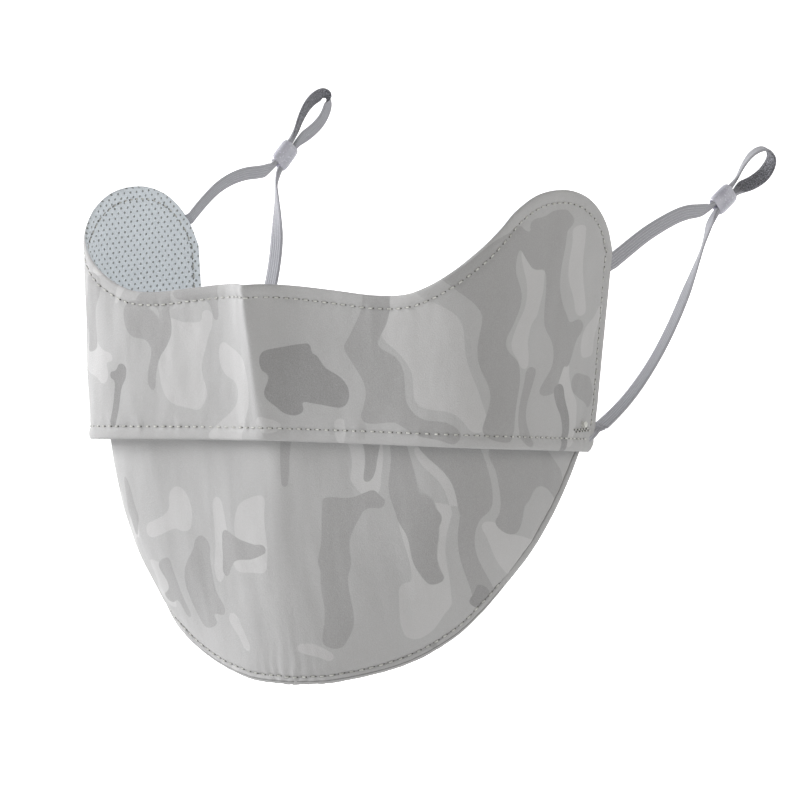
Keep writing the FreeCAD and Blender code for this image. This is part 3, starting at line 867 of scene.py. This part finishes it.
def make_tacks():
    """Two bars of close stitches at each rear lower corner, next to the CAD model's side tack."""
    for name, side in SIDES.items():
        for k, (start, end, z) in enumerate(TACK_BARS):
            distance = side * np.linspace(start, end, 24)
            points, normal = on_band(np.stack([distance, distance * 0 + z], axis=1))
            bar = f"side_bar_{name}_{k}"
            stitches(bar, points, normal, 0.12, radius=0.3, long=2.7, pitch=2.9, body="band")


def make_chin_seams():
    """The row through the strip at the lower edge, outside and inside, and the row along the top edge."""
    share = np.linspace(-0.985, LAYER_SHOWS, 500)
    length = chin_lengths(share)
    drop = 1 - (BINDING + 0.1) / length
    normal = chin_normal(share, drop)
    edge = (1 - drop) * length
    depth = chin_depth(share, drop, edge)
    points = chin(share, drop) - normal * (np.clip(depth, CHIN_RAISED, CHIN_SUNK) - 0.02)[..., None]
    stitches("chin_hem_thread", points, normal, 0.05, node="chin_hem_stitches", body="chin")
    inside = chin(share, drop) - normal * (PANEL + 0.1)
    stitches("chin_hem_thread_inside", inside, -normal, 0.05, body="chin")
    share = np.linspace(-0.93, 0.93, 400)
    drop = share * 0 + 0.035
    normal = chin_normal(share, drop)
    depth = chin_depth(share, drop, (1 - drop) * chin_lengths(share))
    points = chin(share, drop) - normal * np.clip(depth, CHIN_RAISED, CHIN_SUNK)[..., None]
    stitches("chin_top_thread", points, normal, 0.03, node="chin_top_stitches", body="chin")


# ---- ear elastics ----

STRAND_APART = 2.6
BEAD_LENGTH = 9.8
BEAD_MOUTH = 2.6
# Each bead's middle, the way its slot runs and the way its two strands lie apart.
BEADS = {
    "left": ((92, 177, 29), (0.23, 0.78, 0.6), (-0.2, -0.55, 0.8)),
    "right": ((-94.6, 170.5, 44), (0.27, 0.62, 0.8), (-0.2, -0.8, 0.5)),
}
# The runs from each sewn end to the bead, and the loop past it as (distance past its middle, half its gap).
UPPER_RUNS = {
    "left": [(89, 106.8, 8.2), (89.3, 114.5, 11.6), (89.6, 127, 17), (90, 141, 21.6), (90.4, 153, 24.6),
             (91, 163, 25)],
    "right": [(-89.1, 102, 22.8), (-89.8, 109, 27), (-91, 122.4, 33.6), (-92, 138, 37.4), (-93, 153, 38)],
}
LOWER_RUNS = {
    "left": [(84.4, 105.6, -51), (85, 112, -47.8), (86.2, 124, -40), (87.6, 138, -27.5), (89, 150, -12.5),
             (90, 159.5, 2.5), (91, 166, 14)],
    "right": [(-84.4, 105.6, -51), (-85, 112, -47.8), (-86.4, 126, -38.5), (-88, 142, -22.5),
              (-89.8, 154.4, -4.4), (-91.2, 160.5, 11), (-92.6, 162.5, 26)],
}
LOOP = [(8.2, 1.3), (15.6, 4.1), (22.5, 4.8)]
LOOP_TIP = (28.5, 2.3)
LOOP_MIDDLE = 17
ROOT_LENGTH = 8
ROOT_STEP = 0.5
ROOT_DEPTH = 1.08
ROOT_THICK = 0.3
REAR_Y = RIDGE_PLAN[-1][1]
BRAID_SIDES = 26
BRAID_STEP = 0.55
BRAID_RIB = 1.87
BRAID_TURNS_EVENED = 14
ELASTIC_WIDTH = 5.6
ELASTIC_THICK = 0.95
HELD_NARROWER = 0.55
HELD_THICKER = 0.9

# The way the braid's width lies at shares of its route, from the upper end to the lower one.
LOOK, SIDE, LIFT = TO_CAMERA, RIGHT, UP
TIP_WAY = 0.75 * SIDE - 0.8 * LIFT + 0.5 * LOOK
SEWN_WAY = 0.75 * SIDE - 0.4 * LIFT + 0.6 * LOOK
WIDTH_WAYS = {
    "left": [
        (0, 0.8 * LIFT - 0.5 * SIDE + 0.3 * LOOK), (0.2, 0.6 * LIFT - 0.3 * SIDE + 0.6 * LOOK),
        (0.29, 0.25 * LIFT + 0.1 * SIDE + LOOK), (0.34, LOOK), (0.42, LOOK + 0.5 * SIDE - 0.3 * LIFT),
        (0.475, TIP_WAY), (0.52, TIP_WAY),
        (0.58, LOOK + 0.5 * SIDE - 0.3 * LIFT), (0.64, LOOK), (0.72, 0.7 * SIDE + LOOK),
        (0.85, 0.8 * SIDE + 0.8 * LOOK), (1, SEWN_WAY)],
    "right": [
        (0, 0.5 * LIFT - 0.3 * SIDE + LOOK), (0.16, 0.5 * LIFT - 0.2 * SIDE + 0.9 * LOOK),
        (0.25, 0.5 * LIFT + LOOK), (0.3, 0.5 * LIFT + LOOK), (0.38, LOOK - 0.4 * SIDE + 0.9 * LIFT),
        (0.51, LOOK - 0.4 * SIDE + 0.9 * LIFT), (0.58, LOOK), (0.66, 0.8 * SIDE + 0.6 * LOOK),
        (0.85, 0.9 * SIDE + 0.5 * LOOK), (1, SEWN_WAY)],
}


def bead_axes(side):
    centre, way, apart = (np.array(v, float) for v in BEADS[side])
    way = unit(way)
    apart = unit(apart - way * apart.dot(way))
    return centre, way, apart


def loop_points(side):
    """The elastic's route, from its upper end to its lower end."""
    centre, way, apart = bead_axes(side)
    half, mouth = STRAND_APART / 2, BEAD_LENGTH / 2 + BEAD_MOUTH

    def place(along, aside):
        return centre + way * along + apart * aside

    upper = [np.array(p, float) for p in UPPER_RUNS[side]] + [place(-mouth, half)]
    lower = [place(-mouth, -half)] + [np.array(p, float) for p in reversed(LOWER_RUNS[side])]
    out = [place(a, b) for a, b in LOOP] + [place(*LOOP_TIP)]
    back = [place(LOOP_TIP[0], -LOOP_TIP[1])] + [place(a, -b) for a, b in reversed(LOOP)]
    return upper + out + back + lower


def spline_points(points):
    """Points read from the smooth NURBS spline that a route's points control."""
    data = bpy.data.curves.new("route", "CURVE")
    data.dimensions = "3D"
    data.resolution_u = 10
    spline = data.splines.new("NURBS")
    spline.points.add(len(points) - 1)
    for control, point in zip(spline.points, points):
        control.co = (*(point * MM), 1)
    spline.order_u = 3
    spline.use_endpoint_u = True
    route = bpy.data.objects.new("route", data)
    bpy.context.collection.objects.link(route)
    mesh = bpy.data.meshes.new_from_object(route)
    made = np.array([v.co[:] for v in mesh.vertices])
    bpy.data.objects.remove(route)
    bpy.data.meshes.remove(mesh)
    return made


def even_points(points, step):
    """The same line with its points evenly apart, and the distance to each."""
    length = line_lengths(points)
    wanted = np.linspace(0, length[-1], int(length[-1] / step))
    return np.stack([np.interp(wanted, length, points[:, c]) for c in range(3)], axis=1), wanted


def ribbon(name, line, wide, width, thick, inner):
    """A flat braid with round edges along a line. From a side's outward way, inner says how dark it is: the
    darker inner face, partly painted shade.
    """
    tangent = np.gradient(line, axis=0)
    tangent /= np.linalg.norm(tangent, axis=1, keepdims=True)
    wide = wide - tangent * (wide * tangent).sum(1, keepdims=True)
    wide /= np.linalg.norm(wide, axis=1, keepdims=True)
    flat = np.cross(tangent, wide)
    length = line_lengths(line)
    rows, uvs, marks = [], [], []
    for j in range(BRAID_SIDES):
        turn = 2 * math.pi * j / BRAID_SIDES
        x = math.copysign(abs(math.cos(turn)) ** 0.75, math.cos(turn))
        y = math.copysign(abs(math.sin(turn)) ** 0.45, math.sin(turn))
        rib = 1 + 0.1 * math.cos(2 * math.pi * x * ELASTIC_WIDTH / 2 / BRAID_RIB)
        rows.append(line + wide * (width / 2 * x)[:, None] + flat * (thick / 2 * y * rib)[:, None])
        uvs.append(np.stack([x * ELASTIC_WIDTH / 2 + 0 * length, length], axis=1))
        marks.append(inner(flat * math.copysign(1, y)) * (abs(y) > 0.3))
    vertices = np.array(rows).transpose(1, 0, 2).reshape(-1, 3)
    flat_uv = np.array(uvs).transpose(1, 0, 2).reshape(-1, 2)
    mesh = cloth_mesh(name, vertices, tube_faces(0, len(line), BRAID_SIDES), flat_uv)
    store(mesh, "inner", np.array(marks).T)
    made = add_object(name, mesh, braid)
    return made


def make_elastic(side, widths, bead):
    """The flat braid: its width turns along its route, and it is bunched where the bead holds it."""
    centre, way, _ = bead_axes(side)
    line, length = even_points(spline_points(loop_points(side)) / MM, BRAID_STEP)
    share = length / length[-1]
    keys = np.array([k for k, _ in widths])
    ways = np.array([unit(v) for _, v in widths])
    wide = np.stack([np.interp(share, keys, ways[:, c]) for c in range(3)], axis=1)
    for _ in range(BRAID_TURNS_EVENED):
        wide[1:-1] = (wide[:-2] + wide[1:-1] * 2 + wide[2:]) / 4
    past = (line - centre) @ way
    aside = np.linalg.norm(line - centre - past[:, None] * way, axis=1)
    held = np.clip(1 - (np.abs(past) - BEAD_LENGTH / 2) / 7, 0, 1) * (aside < 12)
    held = held * held * (3 - 2 * held)
    loop_zone = np.clip((past - BEAD_LENGTH / 2) / 4, 0, 1) * (aside < 14)
    to_middle = centre + way * LOOP_MIDDLE - line

    # Faces that look towards the loop's middle get the darker inner colour, partly painted shade of the
    # loop's inside.
    def inner(outward_way):
        return np.clip((outward_way * to_middle).sum(1) * 0.8, 0, 1) * loop_zone

    name = f"ear_elastic_braid_{side}"
    width = ELASTIC_WIDTH * (1 - HELD_NARROWER * held)
    made = ribbon(name, line, wide, width, ELASTIC_THICK * (1 + HELD_THICKER * held), inner)
    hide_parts(f"ear_elastic_{side}")
    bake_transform(made)


def make_roots(side, sign, widths):
    """The braid's sewn stretches, from between the band's layers out to where the free braid starts."""
    route = loop_points(side)
    ends = {"upper": (route[0], route[1], widths[0][1]), "lower": (route[-1], route[-2], widths[-1][1])}
    for end, (anchor, ahead, free_way) in ends.items():
        run, line = unit(ahead - anchor), []
        for back in np.arange(ROOT_LENGTH, -ROOT_STEP / 5, -ROOT_STEP):
            point = anchor - run * back
            distance = BAND_HALF - (REAR_Y - point[1])
            if distance < BAND_HALF and point[2] < height(TOP_EDGE, np.array([distance]))[0]:
                place = np.array([sign * distance]), point[2:]
                point = (band(*place) - band_normal(*place) * ROOT_DEPTH)[0]
            line.append(point)
        line = np.array(line)
        for _ in range(5):
            line[1:-1] = (line[:-2] + line[1:-1] * 2 + line[2:]) / 4
        share = np.linspace(0, 1, len(line))[:, None]
        free_way = unit(free_way)
        sewn_way = np.cross(run, (sign, 0, 0))
        sewn_way = sewn_way * math.copysign(1, float(sewn_way @ free_way))
        wide = sewn_way * (1 - share) + free_way * share
        thick = ROOT_THICK + (ELASTIC_THICK - ROOT_THICK) * np.clip(share[:, 0] * 2.5 - 1.5, 0, 1)
        made = ribbon(f"elastic_root_{end}_{side}", line, wide, ELASTIC_WIDTH + 0 * thick, thick,
                      lambda outward_way: np.zeros(len(outward_way)))
        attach(made, "band")
        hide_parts(f"elastic_ends_{side}")


# The bead's outside and slot, as half widths, and how much the outside's lobes stand out.
BEAD_HALF_WIDTH = 3.9
BEAD_WAIST = 1.9
BEAD_LOBE = 1.25
SLOT_HALF_WIDTH = 2.6
SLOT_HALF_HEIGHT = 1.15
BEAD_RING = 40


def make_bead(side):
    """A soft two-lobed bead: rings over its outside, round its ends and back through its slot."""
    centre, way, apart = bead_axes(side)
    third = np.cross(way, apart)
    end = BEAD_LENGTH / 2
    sections = [(2.2 - end, 0), (-end / 3, 0), (end / 3, 0), (end - 2.2, 0), (end - 0.9, 0.1),
                (end - 0.2, 0.32), (end, 0.6), (end - 0.3, 0.88), (end - 1, 1), (0, 1), (1 - end, 1),
                (0.3 - end, 0.88), (-end, 0.6), (0.2 - end, 0.32), (0.9 - end, 0.1)]
    points = []
    for along, inwards in sections:
        for j in range(BEAD_RING):
            turn = 2 * math.pi * j / BEAD_RING
            thick = BEAD_WAIST + BEAD_LOBE * math.sqrt(math.cos(turn) ** 2 + 0.03)
            outside = np.array([BEAD_HALF_WIDTH * math.cos(turn), thick * math.sin(turn)])
            slot = np.array([SLOT_HALF_WIDTH * math.cos(turn), SLOT_HALF_HEIGHT * math.sin(turn)])
            x, y = outside + (slot - outside) * inwards
            points.append(centre + way * along + apart * x + third * y)
    faces = []
    for i in range(len(sections)):
        here, after = i * BEAD_RING, (i + 1) % len(sections) * BEAD_RING
        for j in range(BEAD_RING):
            beside = (j + 1) % BEAD_RING
            faces.append((here + j, here + beside, after + beside, after + j))
    name = f"bead_{side}"
    mesh = bpy.data.meshes.new(name)
    mesh.from_pydata((np.array(points) * MM).tolist(), [], faces)
    made = add_object(name, mesh, silicone)
    rounding = made.modifiers.new("round", "SUBSURF")
    rounding.levels = 2
    rounding.render_levels = 2
    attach(made, name)
    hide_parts(f"ear_bead_{side}")
    return made


camo = camo_material()
mesh_lining = lining_material()
braid = elastic_material()
thread = thread_material()
silicone = silicone_material()

for side_name, side_sign in SIDES.items():
    make_elastic(side_name, WIDTH_WAYS[side_name], make_bead(side_name))
    make_roots(side_name, side_sign, WIDTH_WAYS[side_name])

make_band()
make_chin()
make_binding()
make_band_seams()
make_tacks()
make_chin_seams()

# The two side tacks keep their CAD shape.
for side_name in SIDES:
    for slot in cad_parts[f"side_tack_{side_name}"].material_slots:
        slot.material = thread


# ---- floor and light, in metres ----

FLOOR_Z = -0.26
FLOOR_NEAR = -6.0
FLOOR_FAR = 4.0
FLOOR_HALF_WIDTH = 9.0
BACKDROP_ROUND = 1.6
BACKDROP_TOP = 6.0
BACKDROP_STEPS = 12
GLOW_FROM = 0.6
GLOW_FULL = 1.6
GLOW = 0.85
LAMP_AIM = np.array([0.02, 0.06, -0.06])


def make_floor():
    """A pale floor that curves up into a backdrop and glows faintly away from the mask."""
    profile = [(FLOOR_NEAR, 0.0), (FLOOR_FAR, 0.0)]
    for k in range(1, BACKDROP_STEPS + 1):
        turn = math.pi / 2 * k / BACKDROP_STEPS
        profile.append((FLOOR_FAR + BACKDROP_ROUND * math.sin(turn), BACKDROP_ROUND * (1 - math.cos(turn))))
    profile.append((FLOOR_FAR + BACKDROP_ROUND, BACKDROP_TOP))
    vertices = []
    for far, up in profile:
        for aside in (-FLOOR_HALF_WIDTH, FLOOR_HALF_WIDTH):
            flat = -TO_CAMERA * far + RIGHT * aside
            vertices.append((flat[0], flat[1], FLOOR_Z + up))
    faces = [(2 * k, 2 * k + 1, 2 * k + 3, 2 * k + 2) for k in range(len(profile) - 1)]
    mesh = bpy.data.meshes.new("floor")
    mesh.from_pydata(vertices, [], faces)
    n = Nodes("floor_pale", Roughness=0.9, Base_Color=(0.9, 0.9, 0.9, 1))
    away = n.node("ShaderNodeVectorMath", {0: n.place()}, output=1, operation="LENGTH")
    glow = n.math("MULTIPLY", n.step(away, GLOW_FROM, GLOW_FULL), GLOW)
    n.set(Emission_Color=(1, 1, 1, 1), Emission_Strength=glow)
    add_object("floor", mesh, n.material)


def area_light(name, power, size, place, tint=(1, 1, 1)):
    data = bpy.data.lights.new(name, "AREA")
    data.energy = power
    data.size = size
    data.color = tint
    lamp = bpy.data.objects.new(name, data)
    bpy.context.collection.objects.link(lamp)
    lamp.location = place
    aim = unit(LAMP_AIM - np.array(place))
    lamp.rotation_euler = (math.acos(-aim[2]), 0, math.atan2(aim[1], aim[0]) - math.pi / 2)


make_floor()
area_light("key_left", 56, 1.1, (-1.92, -0.66, 0.8), (0.975, 0.98, 1.0))
area_light("fill_right", 9, 1.5, (1.8, -1.0, 0.6), (1.0, 0.985, 0.955))
area_light("rim_right", 3, 1.2, (1.4, 1.5, 0.9))
world = bpy.data.worlds.new("studio")
world.use_nodes = True
world.node_tree.nodes["Background"].inputs["Color"].default_value = (1, 1, 1, 1)
world.node_tree.nodes["Background"].inputs["Strength"].default_value = 0.36
bpy.context.scene.world = world
bpy.context.scene.view_settings.view_transform = "Standard"
